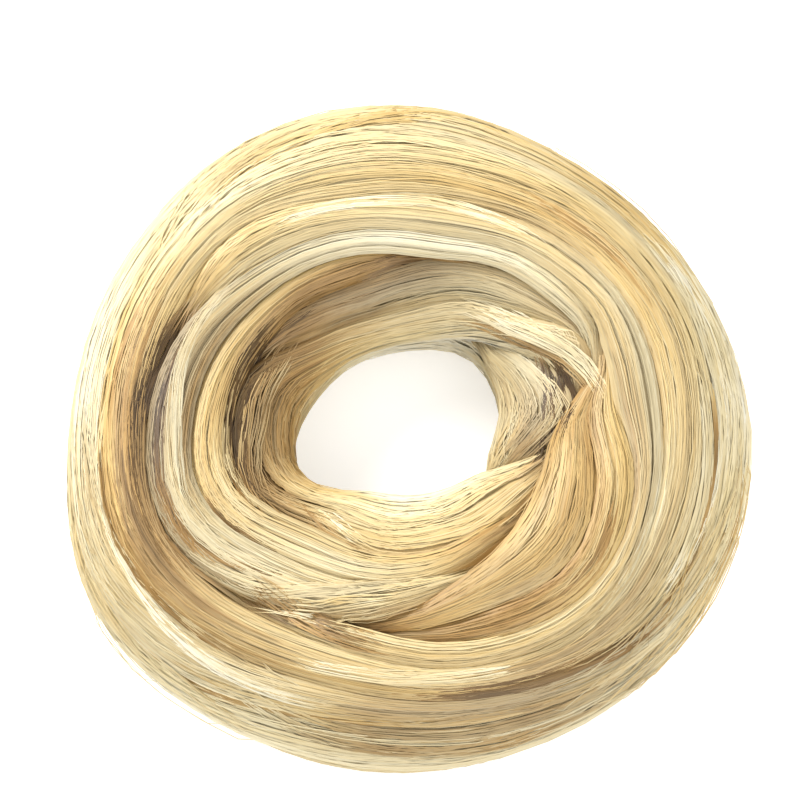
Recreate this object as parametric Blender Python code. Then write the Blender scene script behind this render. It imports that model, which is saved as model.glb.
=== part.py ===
"""A wrap-on ring of false hair: straight locks coiled round a hole for the wearer's own bun.

Metres, +Z up. The ring lies on the plane z = 0 with the centre of its plan over the origin.
Angles run anticlockwise from +X, seen from above. A section's share runs from 0, at the foot
of the hole's wall, up over the crest to 1, at the foot of the outer flank.
"""
import math

import bmesh
import bpy
import numpy as np
from mathutils import Matrix

# Driving sizes
RING_WIDTH = 0.132
RING_DEPTH = 0.131
RING_HEIGHT = 0.036
HOLE_WIDTH = 0.040
HOLE_DEPTH = 0.032
HOLE_SHIFT_X = -0.003
HOLE_SHIFT_Y = 0.0035
WAIST_HEIGHT = 0.015
FOOT_FLATTENING = 0.0015
LOCK_THICKNESS = 0.0065
LOCK_GROOVE = 0.0016
LOCK_FULL_WIDTH = 0.007
LOCK_LEAST_WIDTH = 0.0022
ELASTIC_DIAMETER = 0.003
ELASTIC_SETBACK = 0.017

# Clearances
LOCK_GAP = 0.0006
SEAT_GAP = 0.0005
ELASTIC_GAP = 0.0003

# Form of a section
WRAP_DEGREES = 58.0
CREST_LEAN = 0.10
FOOT_SQUARENESS = 2.7
CROWN_POWER = 2.0
TIP_REACH = 0.45
TIP_SHARE = 0.35
TIP_THICKNESS = 0.35

# Fineness of the meshes
STATIONS = 48
COIL_SIDES = 24
SHARE_STEP = 0.046
LEAST_STEPS = 3
TAPER_STATIONS = 3
ELASTIC_POINTS = 32

# Sections of the ring: the angle in degrees, then shares of the plain oval's outer radius,
# of the plain hole's radius and of the height.
SECTION_COLUMNS = ("angle", "outer", "inner", "height")
SECTIONS = (
    (0, 0.99, 0.98, 0.97),
    (30, 0.97, 1.08, 1.00),
    (60, 0.97, 1.20, 1.00),
    (90, 1.02, 1.05, 0.97),
    (120, 1.02, 0.93, 0.95),
    (150, 0.98, 0.84, 0.95),
    (180, 0.965, 0.92, 0.95),
    (210, 1.01, 1.12, 0.95),
    (240, 0.99, 0.93, 0.93),
    (270, 0.985, 0.97, 0.93),
    (300, 0.98, 1.04, 0.95),
    (330, 0.98, 1.08, 0.97),
)

# Where each lock ends, side by side from the hole outwards, as parts of a hundred of the
# section's way over the crest. A lock that ends where the one before it ends isn't there,
# and the last lock fills the rest.
LOCK_COLUMNS = (
    "angle", "hole_wall_lock", "right_wall_lock", "rim_lock", "upper_wall_lock", "inner_lock",
    "ash_lock", "fan_left_lock", "fan_right_lock", "inner_crest_lock", "outer_crest_lock",
    "flank_lock", "low_flank_lock", "foot_lock",
)
LOCK_ENDS = (
    (0, 17, 38, 38, 38, 38, 38, 42, 47, 54, 66, 77, 89, 100),
    (20, 17, 35, 43, 43, 43, 46, 46, 46, 53, 66, 77, 88, 100),
    (45, 16, 26, 33, 40, 40, 44, 44, 44, 50, 64, 75, 87, 100),
    (75, 16, 16, 27, 37, 37, 41, 41, 41, 47, 62, 74, 87, 100),
    (105, 16, 16, 25, 34, 39, 43, 43, 43, 48, 64, 75, 88, 100),
    (135, 17, 17, 28, 36, 41, 46, 46, 46, 53, 63, 75, 89, 100),
    (165, 18, 18, 36, 37, 44, 52, 52, 52, 54, 64, 76, 89, 100),
    (195, 18, 18, 38, 38, 46, 55, 55, 55, 55, 65, 77, 88, 100),
    (225, 17, 17, 37, 37, 45, 54, 54, 54, 56, 64, 75, 87, 100),
    (255, 16, 16, 39, 39, 45, 51, 52, 52, 56, 62, 68, 84, 100),
    (285, 16, 16, 39, 39, 43, 46, 51, 55, 59, 64, 69, 85, 100),
    (315, 17, 17, 37, 37, 40, 41, 51, 56, 60, 68, 74, 87, 100),
    (340, 18, 30, 37, 37, 38, 38, 46, 52, 56, 68, 79, 89, 100),
)

# How far each lock's crown stands above or below the plain ring, and its colour.
LOCK_LIFTS = {
    "right_wall_lock": -0.0008,
    "rim_lock": -0.0004,
    "upper_wall_lock": -0.0028,
    "inner_lock": -0.0016,
    "ash_lock": -0.0012,
    "fan_left_lock": 0.0004,
    "inner_crest_lock": -0.0003,
}
LOCK_COLOURS = {
    "hole_wall_lock": (0.62, 0.48, 0.28),
    "right_wall_lock": (0.80, 0.74, 0.58),
    "rim_lock": (0.86, 0.72, 0.42),
    "upper_wall_lock": (0.62, 0.55, 0.40),
    "inner_lock": (0.66, 0.48, 0.25),
    "ash_lock": (0.66, 0.60, 0.43),
    "fan_left_lock": (0.76, 0.57, 0.30),
    "fan_right_lock": (0.78, 0.58, 0.28),
    "inner_crest_lock": (0.76, 0.66, 0.42),
    "outer_crest_lock": (0.80, 0.66, 0.40),
    "flank_lock": (0.84, 0.72, 0.50),
    "low_flank_lock": (0.76, 0.62, 0.38),
    "foot_lock": (0.60, 0.50, 0.32),
}
COIL_COLOUR = (0.50, 0.38, 0.22)
ELASTIC_COLOUR = (0.70, 0.58, 0.40)


def table_column(rows, columns, name, degrees):
    """Reads a column of a table by angle, round the ring, with a smooth curve through its rows."""
    index = columns.index(name)
    angles = np.array([row[0] for row in rows], dtype=float)
    values = np.array([row[index] for row in rows], dtype=float)
    angles = np.concatenate([angles[-2:] - 360, angles, angles[:2] + 360])
    values = np.concatenate([values[-2:], values, values[:2]])
    slopes = np.gradient(values, angles)
    at = degrees % 360
    low = int(np.searchsorted(angles, at, side="right")) - 1
    span = angles[low + 1] - angles[low]
    t = (at - angles[low]) / span
    return (
        values[low] * (2 * t**3 - 3 * t**2 + 1)
        + values[low + 1] * (3 * t**2 - 2 * t**3)
        + slopes[low] * span * (t**3 - 2 * t**2 + t)
        + slopes[low + 1] * span * (t**3 - t**2)
    )


def outer_radius(angle):
    """Distance from the origin to the ring's outer flank."""
    plain = 1 / math.hypot(math.cos(angle) * 2 / RING_WIDTH, math.sin(angle) * 2 / RING_DEPTH)
    return plain * table_column(SECTIONS, SECTION_COLUMNS, "outer", math.degrees(angle))


def inner_radius(angle):
    """Distance from the origin to the wall of the hole, an oval a little off the centre."""
    half_width = HOLE_WIDTH / 2
    half_depth = HOLE_DEPTH / 2
    cx, cy = math.cos(angle) / half_width, math.sin(angle) / half_depth
    sx, sy = HOLE_SHIFT_X / half_width, HOLE_SHIFT_Y / half_depth
    along = cx * cx + cy * cy
    across = cx * sx + cy * sy
    plain = (across + math.sqrt(across**2 + along * (1 - sx * sx - sy * sy))) / along
    return plain * table_column(SECTIONS, SECTION_COLUMNS, "inner", math.degrees(angle))


def section_point(angle, turn, inset):
    """A point of the section at an angle. Turn 0 is the outermost point and 90 the crest."""
    outer = outer_radius(angle) - inset
    inner = inner_radius(angle) + inset
    height = table_column(SECTIONS, SECTION_COLUMNS, "height", math.degrees(angle)) * RING_HEIGHT - inset
    middle, half = (outer + inner) / 2, (outer - inner) / 2
    across, up = math.cos(turn), math.sin(turn)
    if up >= 0:
        radius = middle + half * (across + CREST_LEAN * up**2)
        z = WAIST_HEIGHT + (height - WAIST_HEIGHT) * up
    else:
        power = 2 / FOOT_SQUARENESS
        radius = middle + half * math.copysign(abs(across) ** power, across)
        z = WAIST_HEIGHT - (WAIST_HEIGHT + FOOT_FLATTENING) * abs(up) ** power
    return np.array((radius * math.cos(angle), radius * math.sin(angle), max(z, 0.0)))


def share_turn(share):
    """The turn of a section at a share of the way from the hole's foot to the outer foot."""
    return math.radians(180 + WRAP_DEGREES - (180 + 2 * WRAP_DEGREES) * share)


def lock_edges(angle, name):
    """The shares of the section between which a lock lies, with half a gap taken off each side."""
    degrees = math.degrees(angle)
    names = LOCK_COLUMNS[1:]
    ends = [0.0] + [table_column(LOCK_ENDS, LOCK_COLUMNS, each, degrees) / 100 for each in names]
    ends = np.maximum.accumulate(ends)
    place = names.index(name)
    low, high = ends[place], ends[place + 1]
    step = 0.01
    trimmed = []
    for share, side in ((low, 1), (high, -1)):
        here = section_point(angle, share_turn(share), LOCK_THICKNESS)
        there = section_point(angle, share_turn(share + side * step), LOCK_THICKNESS)
        trimmed.append(share + side * step * LOCK_GAP / 2 / np.linalg.norm(there - here))
    return trimmed


def lock_width(angle, low, high):
    """Width of a lock along the coil beneath it."""
    if high <= low:
        return 0.0
    shares = np.linspace(low, high, 5)
    points = [section_point(angle, share_turn(share), LOCK_THICKNESS) for share in shares]
    return sum(np.linalg.norm(b - a) for a, b in zip(points, points[1:]))


def lock_section(angle, edges, name, steps, taper):
    """The closed outline of a lock's section: its crown from the hole outwards, then its seat."""
    low, high = edges
    crest = (LOCK_THICKNESS + LOCK_LIFTS.get(name, 0)) * taper
    groove = LOCK_GROOVE * min(1, lock_width(angle, low, high) / LOCK_FULL_WIDTH)
    crown, seat = [], []
    for step in range(steps + 1):
        across = step / steps
        turn = share_turn(low + (high - low) * across)
        rise = crest - groove * abs(2 * across - 1) ** CROWN_POWER
        crown.append(section_point(angle, turn, LOCK_THICKNESS - rise))
        seat.append(section_point(angle, turn, LOCK_THICKNESS))
    return crown + seat[::-1]


def lock_run(name):
    """The longest unbroken run of stations where a lock is wide enough, and if it is a loop."""
    there = [lock_width(station_angle(at), *lock_edges(station_angle(at), name)) >= LOCK_LEAST_WIDTH
             for at in range(STATIONS)]
    if all(there):
        return list(range(STATIONS)), True
    start = there.index(False)
    best, run = [], []
    for station in range(start, start + STATIONS + 1):
        if there[station % STATIONS]:
            run.append(station)
        else:
            best = max(best, run, key=len)
            run = []
    return best, False


def station_angle(station):
    """The angle of a station, which may lie between two whole ones."""
    return 2 * math.pi * station / STATIONS


def tip_section(station, side, name, steps):
    """A small last section that closes a lock's end in a blunt point."""
    last = lock_edges(station_angle(station), name)
    following = lock_edges(station_angle(station + side), name)
    middle = (1 - TIP_REACH / 2) * sum(last) / 2 + TIP_REACH / 2 * sum(following) / 2
    half = (last[1] - last[0]) / 2 * TIP_SHARE
    angle = station_angle(station + side * TIP_REACH)
    return lock_section(angle, (middle - half, middle + half), name, steps, TIP_THICKNESS)


def lock_rings(name):
    """All the sections of a lock, and if they close in a loop."""
    run, closed = lock_run(name)
    edges = [lock_edges(station_angle(station), name) for station in run]
    steps = max(LEAST_STEPS, round(max(high - low for low, high in edges) / SHARE_STEP))
    rings = []
    for place, (station, (low, high)) in enumerate(zip(run, edges)):
        angle = station_angle(station)
        to_end = TAPER_STATIONS if closed else min(place, len(run) - 1 - place)
        taper = TIP_THICKNESS + (1 - TIP_THICKNESS) * min(1, to_end / TAPER_STATIONS)
        rings.append(lock_section(angle, (low, high), name, steps, taper))
    if not closed:
        rings.insert(0, tip_section(run[0], -1, name, steps))
        rings.append(tip_section(run[-1], 1, name, steps))
    return rings, closed


def loft(name, rings, closed, colour, collection):
    """Skins a row of closed outlines, joined into a loop or capped at its ends."""
    mesh = bpy.data.meshes.new(name)
    form = bmesh.new()
    rows = [[form.verts.new(point) for point in ring] for ring in rings]
    pairs = list(zip(rows, rows[1:]))
    if closed:
        pairs.append((rows[-1], rows[0]))
    for near, far in pairs:
        for index in range(len(near)):
            after = (index + 1) % len(near)
            form.faces.new((near[index], near[after], far[after], far[index]))
    if not closed:
        form.faces.new(rows[0][::-1])
        form.faces.new(rows[-1])
    bmesh.ops.triangulate(form, faces=form.faces)
    bmesh.ops.recalc_face_normals(form, faces=form.faces)
    form.to_mesh(mesh)
    form.free()
    mesh.shade_smooth()
    mesh.set_sharp_from_angle(angle=math.radians(50))
    piece = bpy.data.objects.new(name, mesh)
    piece.data.materials.append(plain_material(name, colour))
    collection.objects.link(piece)
    return piece


def plain_material(name, colour):
    """A matt finish in a piece's colour."""
    material = bpy.data.materials.new(name + "_finish")
    material.use_nodes = True
    shader = material.node_tree.nodes["Principled BSDF"]
    shader.inputs["Base Color"].default_value = (*colour, 1)
    shader.inputs["Roughness"].default_value = 0.55
    shader.inputs["Metallic"].default_value = 0
    return material


def add_lock(name, collection):
    """A lock of hair, lying on the coil between its neighbours."""
    rings, closed = lock_rings(name)
    return loft(name, rings, closed, LOCK_COLOURS[name], collection)


def tube_loop(name, depth, collection):
    """A round tube of the elastic's route, as far in from the hole's wall as its setback."""
    curve = bpy.data.curves.new(name, "CURVE")
    curve.dimensions = "3D"
    curve.bevel_depth = depth
    curve.bevel_resolution = 2
    spline = curve.splines.new("POLY")
    spline.points.add(ELASTIC_POINTS - 1)
    spline.use_cyclic_u = True
    height = ELASTIC_GAP + ELASTIC_DIAMETER / 2
    for index, point in enumerate(spline.points):
        angle = 2 * math.pi * index / ELASTIC_POINTS
        radius = inner_radius(angle) + ELASTIC_SETBACK
        point.co = (radius * math.cos(angle), radius * math.sin(angle), height, 1)
    tube = bpy.data.objects.new(name, curve)
    collection.objects.link(tube)
    return tube


def as_mesh(tube, collection):
    """The same tube as a mesh, which a cut can use."""
    bpy.context.view_layer.update()
    seen = tube.evaluated_get(bpy.context.evaluated_depsgraph_get())
    mesh = bpy.data.meshes.new_from_object(seen)
    name = tube.name
    bpy.data.objects.remove(tube)
    solid = bpy.data.objects.new(name, mesh)
    collection.objects.link(solid)
    return solid


def add_coil(collection, cutters):
    """The inner coil of hair that the locks lie on, grooved beneath for the elastic."""
    rings = []
    for station in range(STATIONS):
        angle = station_angle(station)
        turns = [2 * math.pi * side / COIL_SIDES for side in range(COIL_SIDES)]
        rings.append([section_point(angle, turn, LOCK_THICKNESS + SEAT_GAP) for turn in turns])
    coil = loft("inner_coil", rings, True, COIL_COLOUR, collection)
    groove = tube_loop("elastic_groove", ELASTIC_DIAMETER / 2 + ELASTIC_GAP * 2, cutters)
    groove = as_mesh(groove, cutters)
    groove.hide_render = True
    groove.display_type = "WIRE"
    cut = coil.modifiers.new("groove", "BOOLEAN")
    cut.operation = "DIFFERENCE"
    cut.solver = "EXACT"
    cut.object = groove


def add_elastic(collection):
    """The elastic loop that holds the ring on the wearer's own bun."""
    elastic = tube_loop("elastic_loop", ELASTIC_DIAMETER / 2, collection)
    elastic = as_mesh(elastic, collection)
    elastic.data.materials.clear()
    elastic.data.materials.append(plain_material("elastic_loop", ELASTIC_COLOUR))
    elastic.data.shade_smooth()


def centre_on_origin(pieces):
    """Moves all the meshes together, so that the middle of the ring's plan is over the origin."""
    corners = np.array([vertex.co for piece in pieces for vertex in piece.data.vertices])
    middle = (corners.min(axis=0) + corners.max(axis=0)) / 2
    for piece in pieces:
        piece.data.transform(Matrix.Translation((-middle[0], -middle[1], 0)))


def main():
    for old in list(bpy.data.objects):
        bpy.data.objects.remove(old)
    collection = bpy.data.collections.new("top_knot_hairpiece")
    cutters = bpy.data.collections.new("cutters")
    bpy.context.scene.collection.children.link(collection)
    bpy.context.scene.collection.children.link(cutters)
    add_coil(collection, cutters)
    add_elastic(collection)
    for name in LOCK_COLUMNS[1:]:
        add_lock(name, collection)
    centre_on_origin(list(collection.objects) + list(cutters.objects))


main()
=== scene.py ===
# %% [markdown]
# # A wrap-on ring of false hair
#
# The object is a soft ring of straight blonde hair, coiled round a hole for the wearer's own bun.
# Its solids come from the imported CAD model, one for each lock of hair. This notebook lays real
# strands of hair along every lock, colours them, and lights them as in a small photo studio.
# All lengths are in metres, +Z is up, and angles run anticlockwise from +X, seen from above.

import math

import bpy
import numpy as np
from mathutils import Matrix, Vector


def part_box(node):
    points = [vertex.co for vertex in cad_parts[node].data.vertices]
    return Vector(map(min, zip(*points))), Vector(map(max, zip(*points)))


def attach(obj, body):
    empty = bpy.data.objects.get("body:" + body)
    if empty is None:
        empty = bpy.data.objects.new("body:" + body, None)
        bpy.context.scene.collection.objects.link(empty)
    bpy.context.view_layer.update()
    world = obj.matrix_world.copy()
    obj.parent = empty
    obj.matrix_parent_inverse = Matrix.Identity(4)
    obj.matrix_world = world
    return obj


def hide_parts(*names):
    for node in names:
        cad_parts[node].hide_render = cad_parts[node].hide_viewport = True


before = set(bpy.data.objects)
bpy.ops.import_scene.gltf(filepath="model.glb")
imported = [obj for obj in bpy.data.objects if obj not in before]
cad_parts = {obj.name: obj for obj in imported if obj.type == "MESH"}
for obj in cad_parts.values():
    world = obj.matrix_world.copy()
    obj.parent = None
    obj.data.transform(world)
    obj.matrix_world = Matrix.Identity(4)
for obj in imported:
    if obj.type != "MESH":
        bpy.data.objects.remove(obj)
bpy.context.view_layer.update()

# %% [markdown]
# ## Wires
#
# Both materials and Geometry Nodes are networks of small boxes. Drawing them by hand in code is
# long, so one small class stands for a socket: its sums are written as plain Python, and every
# other box comes from one call that names its type, what goes into it and its settings. The type
# is named without the word that Blender puts before it, such as GeometryNode or ShaderNode.

# %% A socket that can be added, multiplied and joined
NODE_WORDS = ("GeometryNode", "ShaderNode", "FunctionNode")


class Wire:
    """An output socket of a node tree."""

    def __init__(self, socket):
        self.socket = socket
        self.tree = socket.id_data

    def other(self, output):
        """Another output of the same node."""
        return Wire(self.socket.node.outputs[output])

    def maths(self, operation, *values):
        """A Math node in this wire's tree on some values."""
        return node(self.tree, "Math", dict(enumerate(values)), operation=operation)

    def clamped(self):
        return node(self.tree, "Clamp", {"Value": self})

    def eased(self, low, high):
        """From 0 to 1 as this wire goes from low to high, with soft ends."""
        ends = {"Value": self, "From Min": low, "From Max": high}
        return node(self.tree, "MapRange", ends, interpolation_type="SMOOTHSTEP")

    def __add__(self, value):
        return self.maths("ADD", self, value)

    def __radd__(self, value):
        return self.maths("ADD", value, self)

    def __sub__(self, value):
        return self.maths("SUBTRACT", self, value)

    def __rsub__(self, value):
        return self.maths("SUBTRACT", value, self)

    def __mul__(self, value):
        return self.maths("MULTIPLY", self, value)

    def __truediv__(self, value):
        return self.maths("DIVIDE", self, value)

    def __pow__(self, value):
        return self.maths("POWER", self, value)


def node(tree, kind, inputs=None, output=0, **settings):
    """Makes a node, sets it up, joins what goes in, and gives the wire of one of its outputs."""
    made = tree.nodes.new(next(word + kind for word in NODE_WORDS if hasattr(bpy.types, word + kind)))
    for name, value in settings.items():
        if name == "stops":
            set_stops(made, value)
        else:
            setattr(made, name, value)
    for name, value in (inputs or {}).items():
        if isinstance(value, Wire):
            tree.links.new(value.socket, made.inputs[name])
        else:
            made.inputs[name].default_value = value
    return Wire(made.outputs[output])


def set_stops(ramp_node, stops):
    """Puts the stops, as (place, colour), on a colour ramp."""
    ramp = ramp_node.color_ramp
    while len(ramp.elements) < len(stops):
        ramp.elements.new(0.5)
    for element, (place, colour) in zip(ramp.elements, stops):
        element.position = place
        element.color = colour


def from_screen(red, green, blue):
    """A colour as a screen names it, from 0 to 255, in the linear values that Blender wants."""
    shares = [part / 255 for part in (red, green, blue)]
    return tuple(part / 12.92 if part <= 0.04045 else ((part + 0.055) / 1.055) ** 2.4
        for part in shares) + (1.0,)

# %% [markdown]
# ## The form of the ring
#
# The solids follow one rule: a rounded section, flat at the foot, goes round an oval hole, and
# its size changes a little from angle to angle. The locks lie on it side by side. The strands
# have to follow the same rule, so the sizes and the short tables of the CAD model are
# repeated here, and the section is worked out for many points at once with numpy.

# %% Sizes of the ring, as in the CAD model
RING_WIDTH = 0.132
RING_DEPTH = 0.131
RING_HEIGHT = 0.036
HOLE_WIDTH = 0.040
HOLE_DEPTH = 0.032
HOLE_SHIFT_X = -0.003
HOLE_SHIFT_Y = 0.0035
WAIST_HEIGHT = 0.015
FOOT_FLATTENING = 0.0015
LOCK_THICKNESS = 0.0065
LOCK_GROOVE = 0.0016
LOCK_FULL_WIDTH = 0.007
LOCK_LEAST_WIDTH = 0.0022
SEAT_GAP = 0.0005
WRAP_DEGREES = 58.0
CREST_LEAN = 0.10
FOOT_SQUARENESS = 2.7
TAPER_DEGREES = 22.5
TIP_THICKNESS = 0.35
ELASTIC_DIAMETER = 0.003
ELASTIC_SETBACK = 0.017
ELASTIC_GAP = 0.0003

SECTION_COLUMNS = ("angle", "outer", "inner", "height")
SECTIONS = (
    (0, 0.99, 0.98, 0.97),
    (30, 0.97, 1.08, 1.00),
    (60, 0.97, 1.20, 1.00),
    (90, 1.02, 1.05, 0.97),
    (120, 1.02, 0.93, 0.95),
    (150, 0.98, 0.84, 0.95),
    (180, 0.965, 0.92, 0.95),
    (210, 1.01, 1.12, 0.95),
    (240, 0.99, 0.93, 0.93),
    (270, 0.985, 0.97, 0.93),
    (300, 0.98, 1.04, 0.95),
    (330, 0.98, 1.08, 0.97),
)
LOCK_COLUMNS = (
    "angle", "hole_wall_lock", "right_wall_lock", "rim_lock", "upper_wall_lock", "inner_lock",
    "ash_lock", "fan_left_lock", "fan_right_lock", "inner_crest_lock", "outer_crest_lock",
    "flank_lock", "low_flank_lock", "foot_lock",
)
LOCK_ENDS = (
    (0, 17, 38, 38, 38, 38, 38, 42, 47, 54, 66, 77, 89, 100),
    (20, 17, 35, 43, 43, 43, 46, 46, 46, 53, 66, 77, 88, 100),
    (45, 16, 26, 33, 40, 40, 44, 44, 44, 50, 64, 75, 87, 100),
    (75, 16, 16, 27, 37, 37, 41, 41, 41, 47, 62, 74, 87, 100),
    (105, 16, 16, 25, 34, 39, 43, 43, 43, 48, 64, 75, 88, 100),
    (135, 17, 17, 28, 36, 41, 46, 46, 46, 53, 63, 75, 89, 100),
    (165, 18, 18, 36, 37, 44, 52, 52, 52, 54, 64, 76, 89, 100),
    (195, 18, 18, 38, 38, 46, 55, 55, 55, 55, 65, 77, 88, 100),
    (225, 17, 17, 37, 37, 45, 54, 54, 54, 56, 64, 75, 87, 100),
    (255, 16, 16, 39, 39, 45, 51, 52, 52, 56, 62, 68, 84, 100),
    (285, 16, 16, 39, 39, 43, 46, 51, 55, 59, 64, 69, 85, 100),
    (315, 17, 17, 37, 37, 40, 41, 51, 56, 60, 68, 74, 87, 100),
    (340, 18, 30, 37, 37, 38, 38, 46, 52, 56, 68, 79, 89, 100),
)
LOCK_LIFTS = {
    "right_wall_lock": -0.0008,
    "rim_lock": -0.0004,
    "upper_wall_lock": -0.0028,
    "inner_lock": -0.0016,
    "ash_lock": -0.0012,
    "fan_left_lock": 0.0004,
    "inner_crest_lock": -0.0003,
}


# %% Any point of the ring
def cubic(t, first, second, first_rise, second_rise):
    """A smooth step from one value to the next, with its rise at both ends."""
    return (first * (2 * t**3 - 3 * t**2 + 1) + second * (3 * t**2 - 2 * t**3)
        + first_rise * (t**3 - 2 * t**2 + t) + second_rise * (t**3 - t**2))


def table_column(rows, columns, name, degrees):
    """Reads a column of a table by angle, round the ring, with a smooth curve through its rows."""
    index = columns.index(name)
    angles = np.array([row[0] for row in rows], dtype=float)
    values = np.array([row[index] for row in rows], dtype=float)
    angles = np.concatenate([angles[-2:] - 360, angles, angles[:2] + 360])
    values = np.concatenate([values[-2:], values, values[:2]])
    slopes = np.gradient(values, angles)
    at = np.mod(degrees, 360)
    low = np.searchsorted(angles, at, side="right") - 1
    span = angles[low + 1] - angles[low]
    return cubic((at - angles[low]) / span, values[low], values[low + 1], slopes[low] * span,
        slopes[low + 1] * span)


def outer_radius(angle):
    """Distance from the middle to the ring's outer flank."""
    plain = 1 / np.hypot(np.cos(angle) * 2 / RING_WIDTH, np.sin(angle) * 2 / RING_DEPTH)
    return plain * table_column(SECTIONS, SECTION_COLUMNS, "outer", np.degrees(angle))


def inner_radius(angle):
    """Distance from the middle to the wall of the hole, an oval a little off the centre."""
    half_width, half_depth = HOLE_WIDTH / 2, HOLE_DEPTH / 2
    cx, cy = np.cos(angle) / half_width, np.sin(angle) / half_depth
    sx, sy = HOLE_SHIFT_X / half_width, HOLE_SHIFT_Y / half_depth
    along = cx * cx + cy * cy
    across = cx * sx + cy * sy
    plain = (across + np.sqrt(across**2 + along * (1 - sx * sx - sy * sy))) / along
    return plain * table_column(SECTIONS, SECTION_COLUMNS, "inner", np.degrees(angle))


def section_point(angle, turn, inset):
    """Points of the section at an angle. Turn 0 is the outermost point and 90 degrees the crest."""
    outer = outer_radius(angle) - inset
    inner = inner_radius(angle) + inset
    shares = table_column(SECTIONS, SECTION_COLUMNS, "height", np.degrees(angle))
    height = shares * RING_HEIGHT - inset
    middle, half = (outer + inner) / 2, (outer - inner) / 2
    across, up = np.cos(turn), np.sin(turn)
    power = 2 / FOOT_SQUARENESS
    top_radius = middle + half * (across + CREST_LEAN * up**2)
    top_height = WAIST_HEIGHT + (height - WAIST_HEIGHT) * up
    foot_radius = middle + half * np.sign(across) * np.abs(across) ** power
    foot_height = WAIST_HEIGHT - (WAIST_HEIGHT + FOOT_FLATTENING) * np.abs(up) ** power
    radius = np.where(up >= 0, top_radius, foot_radius)
    z = np.where(up >= 0, top_height, foot_height)
    return np.stack([radius * np.cos(angle), radius * np.sin(angle), np.maximum(z, 0)], axis=-1)


def share_turn(share):
    """The turn of a section at a share of the way from the hole's foot to the outer foot."""
    return np.radians(180 + WRAP_DEGREES - (180 + 2 * WRAP_DEGREES) * share)


# %% Where the ring lies in the frame
def plan_shift():
    """How far the CAD model was moved to bring the middle of its plan over the origin."""
    angles = np.linspace(0, 2 * np.pi, 48, endpoint=False)[:, None]
    turns = np.linspace(0, 2 * np.pi, 24, endpoint=False)[None, :]
    coil = section_point(angles, turns, LOCK_THICKNESS + SEAT_GAP).reshape(-1, 3)
    low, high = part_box("inner_coil")
    shift = (np.array(low + high) - coil.min(axis=0) - coil.max(axis=0)) / 2
    return np.array((shift[0], shift[1], 0.0))


PLAN_SHIFT = plan_shift()
print("The plan was moved by", (PLAN_SHIFT * 1000).round(3), "mm")


# %% Where each lock lies
def lock_edges(name, angle):
    """The shares of the section between which a lock lies."""
    names = LOCK_COLUMNS[1:]
    degrees = np.degrees(angle)
    ends = [np.zeros_like(degrees)]
    for each in names:
        ends.append(table_column(LOCK_ENDS, LOCK_COLUMNS, each, degrees) / 100)
    ends = np.maximum.accumulate(np.array(ends), axis=0)
    place = names.index(name)
    return ends[place], ends[place + 1]


def lock_width(angle, low, high):
    """Width of a lock along the coil beneath it."""
    points = [section_point(angle, share_turn(low + (high - low) * part), LOCK_THICKNESS)
        for part in np.linspace(0, 1, 5)]
    return sum(np.linalg.norm(b - a, axis=-1) for a, b in zip(points, points[1:]))


def lock_reach(name):
    """The first and last angle at which a lock shows, and if it goes all the way round."""
    count = 720
    angles = 2 * np.pi * np.arange(count) / count
    there = lock_width(angles, *lock_edges(name, angles)) >= LOCK_LEAST_WIDTH
    if there.all():
        return 0.0, 2 * np.pi, True
    start = int(np.argmin(there))
    best, run = [], []
    for step in range(start, start + count + 1):
        if there[step % count]:
            run.append(step)
        else:
            best = max(best, run, key=len)
            run = []
    return 2 * np.pi * best[0] / count, 2 * np.pi * best[-1] / count, False


for lock in LOCK_COLUMNS[1:]:
    first, last, whole = lock_reach(lock)
    print(f"{lock}: from {math.degrees(first):.0f} to {math.degrees(last):.0f} degrees",
        "in a whole loop" if whole else "")

# %% [markdown]
# ## Guide sheets
#
# Each lock gets a sheet that follows its crown: one side runs along the hair and the other
# across it. Where a lock comes out from under its neighbours, the real hair goes on beneath
# them, so the sheet is longer than the solid and dives at its ends. The sheet isn't shown. It
# carries a UV map, which tells the strands where they are, and two numbers for the colour.

# %% Sheets that follow the crown of a lock
DIVE_DEGREES = 13.0
DIVE_THICKNESS = 0.12
LEAST_HALF_SHARE = 0.014
SHEET_MARGIN = 0.10


def lock_taper(name, angle):
    """How much of its thickness a lock has at an angle, which is less towards its ends."""
    first, last, whole = lock_reach(name)
    if whole:
        return np.ones_like(angle)
    turn = first + np.mod(angle - (first + last) / 2 + np.pi, 2 * np.pi) - np.pi + (last - first) / 2
    to_end = np.minimum(turn - first, last - turn)
    taper = TIP_THICKNESS + (1 - TIP_THICKNESS) * to_end / math.radians(TAPER_DEGREES)
    dive = math.radians(DIVE_DEGREES)
    beyond = TIP_THICKNESS + (TIP_THICKNESS - DIVE_THICKNESS) * to_end / dive
    return np.where(to_end < 0, beyond, np.minimum(taper, 1))


def lock_crown(name, angle, low, high):
    """How high a lock stands along its middle, and how much lower it is at its sides."""
    crest = (LOCK_THICKNESS + LOCK_LIFTS.get(name, 0)) * lock_taper(name, angle)
    return crest, LOCK_GROOVE * np.minimum(1, lock_width(angle, low, high) / LOCK_FULL_WIDTH)


def lock_sheet(name, rows, columns, margin=SHEET_MARGIN, sunk=0.0):
    """Points of a lock's crown, with the angle and the place across of each."""
    first, last, whole = lock_reach(name)
    dive = 0.0 if whole else math.radians(DIVE_DEGREES)
    angle = np.linspace(first - dive, last + dive, rows)
    low, high = lock_edges(name, angle)
    middle = (low + high) / 2
    half = np.maximum((high - low) / 2, LEAST_HALF_SHARE)
    crest, groove = lock_crown(name, angle, low, high)
    across = np.linspace(-margin, 1 + margin, columns)[None, :]
    side = 2 * across - 1
    rise = crest[:, None] - groove[:, None] * side**2 - sunk
    turn = share_turn(middle[:, None] + half[:, None] * side)
    points = section_point(angle[:, None], turn, LOCK_THICKNESS - rise) + PLAN_SHIFT
    return points, np.degrees(angle), across[0], whole


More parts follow.
